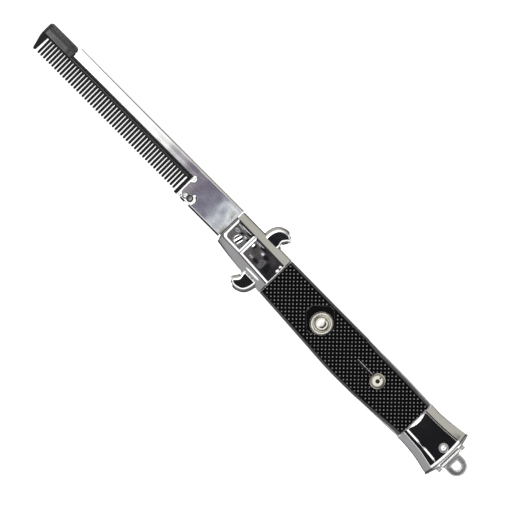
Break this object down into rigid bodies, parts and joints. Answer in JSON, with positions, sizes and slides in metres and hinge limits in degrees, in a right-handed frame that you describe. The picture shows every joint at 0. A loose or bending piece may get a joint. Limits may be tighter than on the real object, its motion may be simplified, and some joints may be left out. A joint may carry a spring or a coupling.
{
  "type": "folding comb",
  "caption": "Flick comb: a fine black comb in a chrome back that folds into a slim guarded handle with black checkered grips, a button and a butt loop.",
  "frame": {"origin": "foot of the comb's pivot axis, on the flat panel of the back that the comb lies on", "axes": "+X along the handle from the pivot to the butt, +Y across it towards the comb's back, +Z out of the front, where the button is"},
  "size_m": [0.2289, 0.0299, 0.0152],
  "materials": {
    "comb_plastic": "glossy moulded black",
    "grip_plastic": "moulded black with fine checkering",
    "bright_chrome": "bright plated",
    "steel_liner": "dull plated sheet",
    "warm_nickel": "bright nickel with a warm tone"
  },
  "bodies": {
    "handle": {"frame": "steel_liner", "front_bolster": "bright_chrome", "back_bolster": "bright_chrome", "scale_front": "grip_plastic", "scale_back": "grip_plastic", "rear_bolster_front": "bright_chrome", "rear_bolster_back": "bright_chrome", "pivot_pin": "bright_chrome", "butt_rivet": "bright_chrome"},
    "comb_arm": {"comb": "comb_plastic", "comb_holder": "bright_chrome"},
    "button": {"push_button": "warm_nickel"},
    "safety": {"safety_knob": "warm_nickel"},
    "bail": {"bail": "bright_chrome"}
  },
  "joints": [
    {"name": "comb_fold", "type": "hinge", "parent": "handle", "child": "comb_arm", "pos_m": [0, 0, 0.0065], "axis": [0, 0, 1], "range_deg": [0, 178.8]},
    {"name": "button_press", "type": "slide", "parent": "handle", "child": "button", "axis": [0, 0, -1], "range_m": [0, 0.0013], "stiffness_N_per_m": 600},
    {"name": "safety_slide", "type": "slide", "parent": "handle", "child": "safety", "axis": [-1, 0, 0], "range_m": [0, 0.0095]},
    {"name": "bail_swing", "type": "hinge", "parent": "handle", "child": "bail", "pos_m": [0.114, 0.0005, 0.0065], "axis": [0, 1, 0], "range_deg": [-90, 90]}
  ]
}
